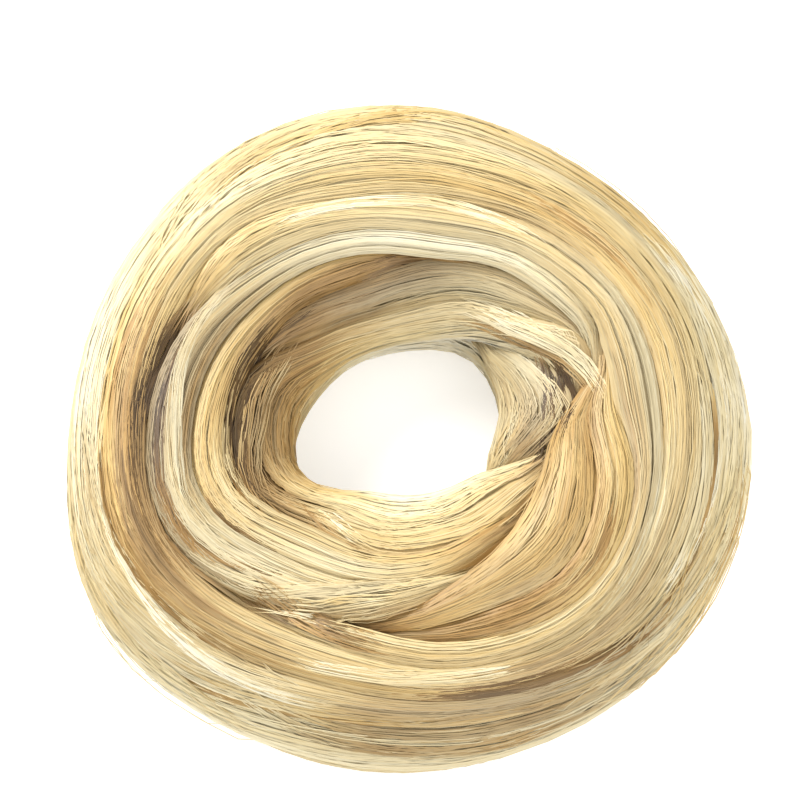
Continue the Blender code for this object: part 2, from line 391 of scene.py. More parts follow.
def outward(points):
    """Unit vectors that point out of a sheet of points."""
    along = np.gradient(points, axis=0)
    across = np.gradient(points, axis=1)
    normal = np.cross(across, along)
    length = np.linalg.norm(normal, axis=-1, keepdims=True)
    return normal / np.maximum(length, 1e-12)


# %% A mesh from a sheet of points
def grid_faces(rows, columns, wrap_rows=False, wrap_columns=False):
    """Four-cornered faces between the points of a grid, in rows."""
    faces = []
    for row in range(rows if wrap_rows else rows - 1):
        after = (row + 1) % rows
        for column in range(columns if wrap_columns else columns - 1):
            beside = (column + 1) % columns
            faces.append((row * columns + column, row * columns + beside, after * columns + beside,
                after * columns + column))
    return faces


def add_object(name, data):
    """A new object of the scene."""
    made = bpy.data.objects.new(name, data)
    bpy.context.scene.collection.objects.link(made)
    return made


def new_object(name, points, faces):
    """A mesh object with its place in its mesh."""
    mesh = bpy.data.meshes.new(name)
    mesh.from_pydata([tuple(point) for point in points.reshape(-1, 3)], [], faces)
    mesh.shade_smooth()
    return add_object(name, mesh)


def triangles(piece):
    """How many triangles the faces of a piece come to."""
    return sum(len(face.vertices) - 2 for face in piece.data.polygons)


def hand_over(piece, slot, solid=None):
    """Says what a piece rides on and hides the solid that it stands in for; its slot is not used."""
    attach(piece, "root")
    if solid:
        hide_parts(solid)


def add_number(mesh, name, values):
    """Stores one number for each point of a mesh."""
    layer = mesh.attributes.new(name, "FLOAT", "POINT")
    layer.data.foreach_set("value", np.ascontiguousarray(values, dtype=np.float32).ravel())


def add_vector(mesh, name, values):
    """Stores one vector for each point of a mesh."""
    layer = mesh.attributes.new(name, "FLOAT_VECTOR", "POINT")
    layer.data.foreach_set("vector", np.ascontiguousarray(values, dtype=np.float32).ravel())


def add_flow(mesh, rows, columns, along, across):
    """Stores a UV map that runs along the hair and across it."""
    grid = np.stack(np.meshgrid(along, across, indexing="ij"), axis=-1).reshape(-1, 2)
    corners = np.zeros(len(mesh.loops), dtype=np.int32)
    mesh.loops.foreach_get("vertex_index", corners)
    layer = mesh.uv_layers.new(name="flow")
    layer.data.foreach_set("uv", grid[corners].astype(np.float32).ravel())

# %% [markdown]
# ## The colours of the hair
#
# False hair of this kind is a blend: golden strands, cooler ash ones, pale highlights and a few
# brown ones. One number, the tone, goes from dark brown at 0 to cream at 1. A second one, the
# ash, says how cool the blend is. Each lock has a short table by angle, in
# hundredths: the tone on its side towards the hole, the tone on its outer side, and the ash.
# The tone tables also hold painted light and shade: the near rim of the hole and stretches of the outer
# edge are painted paler, and the valley on the left, the shaded walls of the hole and the lower right
# flank are painted darker. Other tables say how much the strands differ from one another at an angle,
# and give each lock its slot, how many times over its strands cover it, and how far its own strands
# differ.

# %% Tones of the locks
TONE_COLUMNS = ("angle", "hole_side", "outer_side", "ash")
# Besides the colour of the hair, these tones hold painted light and shade: tones above 100 on the near
# rim of the hole are a painted highlight, stretches of the outer edge are painted paler, and the valley
# on the left, the shaded walls of the hole and the lower right flank are painted darker.
LOCK_TONES_AND_PAINTED_LIGHT = {
    "hole_wall_lock": ((0, 60, 62, 60), (60, 60, 92, 60), (110, 60, 96, 50), (150, 68, 60, 55),
        (200, 72, 58, 60), (240, 66, 66, 20), (275, 125, 125, 15), (320, 96, 98, 20)),
    "right_wall_lock": ((0, 62, 48, 75), (40, 60, 64, 80), (75, 60, 62, 70), (180, 58, 58, 50),
        (300, 64, 56, 60), (330, 68, 50, 70)),
    "rim_lock": ((0, 56, 42, 50), (40, 72, 66, 70), (80, 100, 68, 50), (120, 96, 50, 30),
        (160, 68, 20, 15), (200, 67, 5, 15), (235, 76, 56, 20), (270, 124, 64, 15), (310, 104, 58, 10)),
    "upper_wall_lock": ((0, 64, 54, 70), (60, 66, 43, 90), (90, 60, 36, 75), (130, 42, 28, 35),
        (180, 30, 30, 20), (300, 40, 40, 40)),
    "inner_lock": ((0, 42, 44, 30), (90, 30, 56, 15), (135, 28, 60, 15), (180, 46, 64, 14),
        (225, 50, 72, 35), (260, 56, 70, 25), (300, 54, 56, 10)),
    "ash_lock": ((0, 50, 56, 60), (45, 68, 72, 75), (90, 76, 86, 75), (135, 62, 62, 75),
        (180, 54, 30, 70), (215, 70, 44, 75), (245, 78, 50, 45), (275, 70, 50, 30), (300, 62, 58, 20)),
    "fan_left_lock": ((0, 36, 46, 15), (60, 54, 54, 10), (180, 50, 50, 15), (262, 40, 40, 30),
        (285, 42, 45, 15), (310, 50, 52, 8), (335, 52, 52, 6)),
    "fan_right_lock": ((0, 52, 54, 12), (60, 56, 56, 10), (180, 60, 60, 15), (270, 42, 52, 20),
        (310, 44, 55, 8), (335, 52, 57, 6)),
    "inner_crest_lock": ((0, 60, 58, 60), (45, 70, 60, 62), (90, 75, 62, 42), (135, 64, 72, 20),
        (175, 34, 38, 20), (210, 38, 48, 35), (240, 54, 68, 35), (280, 60, 64, 20), (320, 58, 58, 20)),
    "outer_crest_lock": ((0, 56, 75, 24), (45, 58, 60, 40), (90, 66, 68, 25), (135, 76, 74, 15),
        (160, 58, 68, 12), (185, 36, 68, 12), (210, 42, 46, 30), (235, 60, 50, 35), (270, 66, 54, 30),
        (295, 60, 40, 35), (320, 56, 58, 45), (345, 56, 82, 35)),
    "flank_lock": ((0, 94, 96, 10), (45, 56, 62, 35), (90, 68, 72, 30), (135, 70, 78, 12),
        (180, 74, 84, 60), (207, 58, 72, 55), (235, 64, 83, 45), (270, 50, 59, 50), (295, 48, 57, 60),
        (320, 64, 73, 80), (345, 88, 84, 10)),
    "low_flank_lock": ((0, 87, 92, 12), (45, 66, 70, 35), (90, 73, 75, 85), (135, 80, 80, 8),
        (180, 80, 70, 40), (205, 72, 70, 45), (235, 77, 87, 45), (270, 65, 69, 75), (315, 67, 73, 80),
        (340, 84, 86, 10)),
    "foot_lock": ((0, 80, 70, 15), (90, 70, 62, 45), (180, 72, 62, 20), (225, 70, 62, 25),
        (270, 64, 58, 55), (315, 66, 58, 60)),
}
SPREAD_COLUMNS = ("angle", "spread")
SPREADS = ((0, 1.3), (45, 1.0), (90, 0.8), (135, 1.0), (180, 1.4), (225, 1.4), (270, 1.1), (315, 1.3))
LOCK_LOOKS = {
    "hole_wall_lock": ("deep", 2.4, 1), "right_wall_lock": ("pale", 5, 1.2),
    "rim_lock": ("bright", 4.6, 1), "upper_wall_lock": ("ash", 6, 1), "inner_lock": ("deep", 5.5, 1),
    "ash_lock": ("ash", 6, 1), "fan_left_lock": ("golden", 7, 0.8),
    "fan_right_lock": ("golden", 7, 0.8), "inner_crest_lock": ("ash", 5.5, 1),
    "outer_crest_lock": ("golden", 4.4, 1), "flank_lock": ("pale", 4.2, 0.75),
    "low_flank_lock": ("golden", 3.3, 0.6), "foot_lock": ("deep", 1.9, 0.7),
}


def tone_columns(name, degrees):
    """The tone on a lock's side towards the hole, on its outer side, and its ash."""
    rows = [(row[0], *(part / 100 for part in row[1:])) for row in LOCK_TONES_AND_PAINTED_LIGHT[name]]
    return [table_column(rows, TONE_COLUMNS, column, degrees) for column in TONE_COLUMNS[1:]]


def lock_tone(name, degrees, across):
    """The tone and the ash of a lock at some angles and places across."""
    hole_side, outer_side, ash = tone_columns(name, degrees)
    part = np.clip(across, 0, 1)[None, :]
    tone = hole_side[:, None] * (1 - part) + outer_side[:, None] * part
    return tone, np.repeat(ash[:, None], len(across), axis=1)


def colour_spread(name, degrees, count):
    """How much the strands of a lock differ from one another: most on the near left."""
    spread = table_column(SPREADS, SPREAD_COLUMNS, "spread", degrees) * LOCK_LOOKS[name][2]
    return np.repeat(spread[:, None], count, axis=1)

# %% [markdown]
# ## The hair material
#
# The tone picks a colour from one of two ramps, a golden one and an ash one, and the ash number
# mixes them. Along each strand a soft noise makes the tone drift, as dyed fibre does. Hair is a
# smooth fibre, so it has a tight sheen: the strands are round, and the plain gloss of the
# shader already draws the bands of light across them.

# %% Hair material
GOLDEN_STOPS = (
    (0.00, from_screen(62, 42, 20)),
    (0.20, from_screen(120, 90, 46)),
    (0.40, from_screen(184, 144, 84)),
    (0.60, from_screen(222, 190, 124)),
    (0.80, from_screen(242, 222, 168)),
    (1.00, from_screen(255, 251, 232)),
)
ASH_STOPS = (
    (0.00, from_screen(54, 43, 26)),
    (0.20, from_screen(106, 91, 60)),
    (0.40, from_screen(164, 146, 112)),
    (0.60, from_screen(206, 192, 154)),
    (0.80, from_screen(232, 222, 190)),
    (1.00, from_screen(248, 244, 226)),
)
TONE_DRIFT = 0.10
DRIFT_SCALE = 90.0
FIBRE_CONTRAST = 0.45
FIBRE_RELIEF = 0.0006


def new_finish(name, roughness):
    """A new material, with its node tree and its shader."""
    material = bpy.data.materials.new(name)
    material.use_nodes = True
    shader = material.node_tree.nodes["Principled BSDF"]
    shader.inputs["Roughness"].default_value = roughness
    return material, material.node_tree, shader


def hair_material(name, roughness, fibres_across):
    """Hair whose colour comes from the tone and ash that its points carry."""
    material, tree, shader = new_finish(name, roughness)
    place = node(tree, "TexCoord", output="Object")
    tone = node(tree, "Attribute", output="Fac", attribute_name="tone")
    ash = node(tree, "Attribute", output="Fac", attribute_name="ash")
    noise = node(tree, "TexNoise", {"Vector": place, "Scale": DRIFT_SCALE, "Detail": 2.0})
    tone = tone + (noise - 0.5) * TONE_DRIFT
    if fibres_across:
        flow = node(tree, "UVMap", uv_map="flow")
        split = node(tree, "SeparateXYZ", {"Vector": flow})
        turn = split * (2 * math.pi)
        ring = node(tree, "CombineXYZ", {"X": turn.maths("SINE", turn), "Y": turn.maths("COSINE", turn),
            "Z": split.other("Y") * fibres_across})
        fibres = node(tree, "TexNoise", {"Vector": ring, "Scale": 1.0, "Detail": 4.0})
        tone = tone + (fibres - 0.5) * FIBRE_CONTRAST
        relief = node(tree, "Bump", {"Strength": 0.6, "Distance": FIBRE_RELIEF, "Height": fibres})
        tree.links.new(relief.socket, shader.inputs["Normal"])
    tone = tone.clamped()
    golden = node(tree, "ValToRGB", {"Fac": tone}, stops=GOLDEN_STOPS)
    cool = node(tree, "ValToRGB", {"Fac": tone}, stops=ASH_STOPS)
    colour = node(tree, "Mix", {"Factor": ash.clamped(), 6: golden, 7: cool}, 2, data_type="RGBA")
    tree.links.new(colour.socket, shader.inputs["Base Color"])
    shader.inputs["Specular IOR Level"].default_value = 0.45
    return material


STRAND_FINISH = hair_material("hair_strands", 0.46, 0)
CORE_FINISH = hair_material("hair_beneath", 0.55, 90.0)
print("Two hair finishes:", STRAND_FINISH.name, "and", CORE_FINISH.name)

# %% [markdown]
# ## The body of each lock
#
# Between the strands one sees more hair, not a gap. A closed body a little below the crown fills
# each lock; it is painted a little darker than the strands, as shade in the gaps between them. It could
# be left out if there were millions of strands, but then every strand would have to be modelled down
# to the heart of the coil.

# %% Bodies beneath the strands
BODY_ROWS = 120
BODY_COLUMNS = 9
BODY_MARGIN = 0.05
BODY_SUNK = 0.0004
# How much darker the body is painted than the strands: painted shade in the gaps between them.
BODY_SHADE = 0.03


def lock_body(name):
    """A closed body of hair, from the coil up to just below a lock's crown."""
    crown, degrees, across, whole = lock_sheet(name, BODY_ROWS, BODY_COLUMNS, BODY_MARGIN, BODY_SUNK)
    low, high = lock_edges(name, np.radians(degrees))
    half = np.maximum((high - low) / 2, LEAST_HALF_SHARE)
    middle = (low + high) / 2
    seat_turn = share_turn(middle[:, None] + half[:, None] * (2 * across[None, :] - 1))
    seat = section_point(np.radians(degrees)[:, None], seat_turn, LOCK_THICKNESS) + PLAN_SHIFT
    outline = np.concatenate([crown, seat[:, ::-1]], axis=1)
    outline[..., 2] = np.maximum(outline[..., 2], BODY_SUNK)
    if whole:
        outline = outline[:-1]
    rows, columns = outline.shape[:2]
    faces = grid_faces(rows, columns, wrap_rows=whole, wrap_columns=True)
    if not whole:
        faces.append(tuple(range(columns))[::-1])
        faces.append(tuple((rows - 1) * columns + column for column in range(columns)))
    tone, ash = lock_tone(name, degrees[:rows], np.concatenate([across, across[::-1]]))
    # The body is painted a little darker than the strands, as shade in the gaps between them.
    return closed_body(name + "_body", outline, faces, tone - BODY_SHADE, ash)


def closed_body(name, outline, faces, tone, ash):
    """A closed body of hair with its colour numbers, right side out."""
    rows, columns = outline.shape[:2]
    piece = new_object(name, outline, faces)
    mesh = piece.data
    add_number(mesh, "tone", np.broadcast_to(tone, (rows, columns)))
    add_number(mesh, "ash", np.broadcast_to(ash, (rows, columns)))
    add_flow(mesh, rows, columns, np.arange(rows) / rows, np.arange(columns) / columns)
    mesh.materials.append(CORE_FINISH)
    volume = 0.0
    for face in mesh.polygons:
        corners = [mesh.vertices[index].co for index in face.vertices]
        for second, third in zip(corners[1:], corners[2:]):
            volume += corners[0].dot(second.cross(third))
    if volume < 0:
        mesh.flip_normals()
    return piece

# %% [markdown]
# ## The strands
#
# A strand is a thin tube that follows the guide sheet. Hair particles could draw it, but they
# aren't meshes, so they are lost when the model is exported. Geometry Nodes can do the same and
# give a mesh: a line of points is repeated, each point finds its place on the sheet through the
# UV map, and a three-sided profile turns the lines into tubes. What makes it look like hair is
# how the strands keep together: they gather in wisps, the wisps wander and rise and sink, and
# a few strands cross the others.

# %% The strand tree
THIN, THICK = 0.00006, 0.00014
LOWEST = THICK * 1.4
END_DIP = 0.0012
END_SHADE = 0.06
STRAND_INPUTS = {
    "Strands": 500, "Points": 16, "Shortest": 0.3, "Longest": 0.6, "Whole loop": 0.0,
    "Thin radius": THIN, "Thick radius": THICK, "Wisps": 8.0, "Gather": 0.25, "Wander": 0.07,
    "Cross": 0.35, "Converge": 0.0, "Puff": 0.00022, "Loose": 0.0006, "Streaks": 8.0,
    "Tone spread": 0.11, "Silkiness": 0.82, "Margin": 0.1, "Seed": 1,
}


def tree_with_inputs(name, inputs):
    """An empty Geometry Nodes tree with named inputs, and the wires that carry them."""
    tree = bpy.data.node_groups.new(name, "GeometryNodeTree")
    tree.interface.new_socket("Geometry", in_out="INPUT", socket_type="NodeSocketGeometry")
    for title, value in inputs.items():
        kind = "NodeSocketInt" if isinstance(value, int) else "NodeSocketFloat"
        tree.interface.new_socket(title, in_out="INPUT", socket_type=kind).default_value = value
    tree.interface.new_socket("Material", in_out="INPUT", socket_type="NodeSocketMaterial")
    tree.interface.new_socket("Geometry", in_out="OUTPUT", socket_type="NodeSocketGeometry")
    given = tree.nodes.new("NodeGroupInput")
    return tree, {socket.name: Wire(socket) for socket in given.outputs if socket.name}


def ended(tree, given, shape):
    """Ends a tree: what it made becomes one mesh with the given material."""
    shape = node(tree, "RealizeInstances", {"Geometry": shape})
    shape = node(tree, "SetMaterial", {"Geometry": shape, "Material": given["Material"]})
    tree.links.new(shape.socket, tree.nodes.new("NodeGroupOutput").inputs[0])
    return tree


def strand_lines(tree, given):
    """As many lines as there are strands, all alike, each with the same number of points."""
    line = node(tree, "CurvePrimitiveLine")
    line = node(tree, "ResampleCurve", {"Curve": line, "Count": given["Points"]}, mode="COUNT")
    points = node(tree, "Points", {"Count": given["Strands"]})
    copies = node(tree, "InstanceOnPoints", {"Points": points, "Instance": line})
    return node(tree, "RealizeInstances", {"Geometry": copies})


def round_noise(tree, turn, swings, third):
    """Smooth noise that closes on itself after a whole turn, for each value of a third number."""
    angle = turn * (2 * math.pi)
    where = node(tree, "CombineXYZ", {"X": angle.maths("COSINE", angle) * swings,
        "Y": angle.maths("SINE", angle) * swings, "Z": third})
    return node(tree, "TexNoise", {"Vector": where, "Scale": 1.0, "Detail": 1.0}) - 0.5


def on_sheet(tree, given, name, kind, uv):
    """What the guide sheet carries under a name, at a place of its UV map."""
    value = node(tree, "InputNamedAttribute", {"Name": name}, data_type=kind)
    flow = node(tree, "InputNamedAttribute", {"Name": "flow"}, data_type="FLOAT_VECTOR")
    return node(tree, "SampleUVSurface", {"Mesh": given["Geometry"], "Value": value, "UV Map": flow,
        "Sample UV": uv}, data_type=kind)


def strand_tree():
    """Strands of hair along a guide sheet."""
    tree, given = tree_with_inputs("strands_on_a_lock", STRAND_INPUTS)
    strand = node(tree, "CurveOfPoint")
    along = node(tree, "SplineParameter")

    def chance(low, high, salt, key=strand):
        """A number between two others that is always the same for the same strand or wisp."""
        return node(tree, "RandomValue", {2: low, 3: high, 7: key, 8: given["Seed"] + salt}, 1,
            data_type="FLOAT")

    length = chance(given["Shortest"], given["Longest"], 1)
    room = 1 - length * (1 - given["Whole loop"])
    turn = chance(0.0, 1.0, 2) * room + length * along
    turn = turn - given["Whole loop"] * turn.maths("FLOOR", turn)

    place = chance(0.0, 1.0, 3)
    wisp = (place * given["Wisps"]).maths("FLOOR", place * given["Wisps"])
    centre = (wisp + 0.5 + chance(-0.25, 0.25, 4, wisp)) / given["Wisps"]
    apart = (place - centre) * given["Wisps"] * 2
    path = round_noise(tree, turn, 1.1, wisp * 7.31)
    own_path = round_noise(tree, turn, 2.4, strand * 3.17)
    crossing = chance(-1.0, 1.0, 5) ** 3.0 * (along - 0.5) * given["Cross"]
    across = place + (centre - place) * given["Gather"]
    across = across + path * given["Wander"] * 2 + own_path * given["Wander"] * 0.35 + crossing

    from_end = along.maths("MINIMUM", along, 1 - along)
    pinch = (1 - from_end.eased(0.0, 0.5)) * given["Converge"]
    across = across + (0.5 - across) * pinch
    swell = round_noise(tree, turn, 2.0, wisp * 5.77)
    ends = from_end.eased(0.0, 0.10)
    lift = given["Puff"] * (1 - apart * apart + swell * 2.0)
    lift = lift + chance(0.0, 1.0, 6) ** 4.0 * given["Loose"] * ends
    lift = lift - (1 - ends) * END_DIP

    margin = given["Margin"]
    uv = node(tree, "CombineXYZ", {"X": turn, "Y": ((across + margin) / (1 + margin * 2)).clamped()})
    point = on_sheet(tree, given, "place", "FLOAT_VECTOR", uv)
    normal = on_sheet(tree, given, "outward", "FLOAT_VECTOR", uv)
    raised = node(tree, "VectorMath", {"Vector": normal, "Scale": lift}, operation="SCALE")
    point = node(tree, "VectorMath", {0: point, 1: raised}, operation="ADD")
    point = node(tree, "VectorMath", {0: point, 1: (-1.0, -1.0, LOWEST)}, operation="MAXIMUM")
    lines = node(tree, "SetPosition", {"Geometry": strand_lines(tree, given), "Position": point})

    fine = round_noise(tree, turn, 0.8, place * given["Streaks"] + given["Seed"])
    broad = round_noise(tree, turn, 0.6, place * given["Streaks"] * 0.23 + given["Seed"] * 0.7)
    tone = on_sheet(tree, given, "tone", "FLOAT", uv)
    spread = on_sheet(tree, given, "spread", "FLOAT", uv) * given["Tone spread"]
    tone = tone + (fine * 1.5 + broad * 3.8 + chance(-1.0, 1.0, 8) ** 3.0 * 0.6) * spread
    tone = tone - (1 - ends) * END_SHADE
    cool = round_noise(tree, turn, 0.7, place * given["Streaks"] * 0.5 - given["Seed"])
    ash = on_sheet(tree, given, "ash", "FLOAT", uv) + cool * 1.2 + chance(-0.15, 0.15, 10)
    for name, kind, value in (("tone", "FLOAT", tone), ("ash", "FLOAT", ash),
            ("outward", "FLOAT_VECTOR", normal)):
        lines = node(tree, "StoreNamedAttribute", {"Geometry": lines, "Name": name, "Value": value},
            data_type=kind, domain="POINT")

    thick = chance(given["Thin radius"], given["Thick radius"], 11) * (0.25 + ends * 0.75)
    profile = node(tree, "CurvePrimitiveCircle", {"Resolution": 3, "Radius": 1.0})
    lines = node(tree, "SetCurveNormal", {"Curve": lines, "Normal": normal}, mode="FREE")
    tubes = node(tree, "CurveToMesh", {"Curve": lines, "Profile Curve": profile, "Scale": thick,
        "Fill Caps": True})
    tubes = node(tree, "SetShadeSmooth", {"Geometry": tubes})
    sheet_normal = node(tree, "InputNamedAttribute", {"Name": "outward"}, data_type="FLOAT_VECTOR")
    own_normal = node(tree, "InputNormal")
    leaning = node(tree, "Mix", {0: given["Silkiness"], 4: own_normal, 5: sheet_normal}, 1,
        data_type="VECTOR")
    leaning = node(tree, "VectorMath", {0: leaning}, operation="NORMALIZE")
    tubes = node(tree, "SetMeshNormal", {"Mesh": tubes, "Custom Normal": leaning}, mode="FREE",
        domain="POINT")
    tubes = node(tree, "RemoveAttribute", {"Geometry": tubes, "Name": "outward"})
    return ended(tree, given, tubes)


STRAND_TREE = strand_tree()
print("The strand tree has", len(STRAND_TREE.nodes), "nodes")


# %% Growing strands from a sheet
def guide(name, points, spread, across, tone, ash, margin):
    """A hidden sheet that carries the place, the outward direction and the colour numbers."""
    rows, columns = points.shape[:2]
    piece = new_object(name, points, grid_faces(rows, columns))
    add_vector(piece.data, "place", points)
    add_vector(piece.data, "outward", outward(points))
    for title, values in (("tone", tone), ("ash", ash), ("spread", spread)):
        add_number(piece.data, title, np.broadcast_to(values, (rows, columns)))
    unit_across = (across + margin) / (1 + 2 * margin)
    add_flow(piece.data, rows, columns, np.linspace(0, 1, rows), unit_across)
    return piece


def grow(name, sheet, material, tree=STRAND_TREE, **sizes):
    """Runs a tree on a sheet or path and gives what it makes as one plain mesh."""
    modifier = sheet.modifiers.new("growth", "NODES")
    modifier.node_group = tree
    sizes["Material"] = material
    for item in tree.interface.items_tree:
        if item.in_out == "INPUT" and item.name in sizes:
            modifier[item.identifier] = sizes[item.name]
    seen = sheet.evaluated_get(bpy.context.evaluated_depsgraph_get())
    mesh = bpy.data.meshes.new_from_object(seen)
    mesh.name = name
    sheet.modifiers.remove(modifier)
    bpy.data.objects.remove(sheet)
    return add_object(name, mesh)


# %% Strands and body of every lock
SHEET_ROWS = 220
SHEET_COLUMNS = 14
CHORD_RISE = 0.0002
WISP_WIDTH = 0.0030
STREAK_WIDTH = 0.0014


def sheet_measure(points):
    """Length along the middle of a sheet, and its area."""
    middle = points[:, points.shape[1] // 2]
    length = np.linalg.norm(np.diff(middle, axis=0), axis=-1).sum()
    along = np.gradient(points, axis=0)
    across = np.gradient(points, axis=1)
    return length, np.linalg.norm(np.cross(along, across), axis=-1).sum()


def points_along(length, bend):
    """How many points keep the chords of a bent strand within a small rise of its arc."""
    chord = math.sqrt(8 * CHORD_RISE / bend)
    return max(7, math.ceil(length / chord) + 1)


def add_lock(name, seed):
    """The strands and the body of one lock, in place of its solid."""
    points, degrees, across, whole = lock_sheet(name, SHEET_ROWS, SHEET_COLUMNS)
    length, area = sheet_measure(points)
    tone, ash = lock_tone(name, degrees, across)
    shortest, longest = (0.22, 0.45) if whole else (0.55, 0.98)
    mean = length * (shortest + longest) / 2
    slot, cover, _ = LOCK_LOOKS[name]
    count = int(cover * area / (mean * (THIN + THICK)))
    spread = colour_spread(name, degrees, SHEET_COLUMNS)
    sheet = guide(name + "_sheet", points, spread, across, tone, ash, SHEET_MARGIN)
    bend = math.radians(degrees[-1] - degrees[0]) / length
    strands = grow(name + "_strands", sheet, STRAND_FINISH, **{"Strands": count,
        "Points": points_along(length * longest, bend), "Shortest": shortest, "Longest": longest,
        "Whole loop": 1.0 if whole else 0.0, "Wisps": max(2.0, round(area / length / WISP_WIDTH)),
        "Streaks": area / length / STREAK_WIDTH, "Seed": seed})
    for piece in (strands, lock_body(name)):
        hand_over(piece, "hair_" + slot, name)
    return count, triangles(strands)


total = 0
for number, lock in enumerate(LOCK_COLUMNS[1:]):
    count, faces = add_lock(lock, 100 + 20 * number)
    total += faces
    print(f"{lock}: {count} strands, {faces} triangles")
print("All strands:", total, "triangles")

# %% [markdown]
# ## Single tresses
#
# The eye follows a few strands that stand out: a cream one down the left, pale and brown ones that
# cross from one lock to the next, broad sweeps that ease the seams between locks, and a few strays. The
# dark tresses in the furrows where a lock dives are painted shade, as are those along the crease low on
# the right, in the dips and the crotch low on the left, under the lip, on the far wall and on the
# shaded left wall of the hole. Each tress is a narrow sheet along a short path over the ring, and the
# same strand tree grows on it. In the table the width, lift and loose height are in tenths of a
# millimetre, the tone and ash in hundredths, and each point of a path is an angle and a share of the
# section, in thousandths.

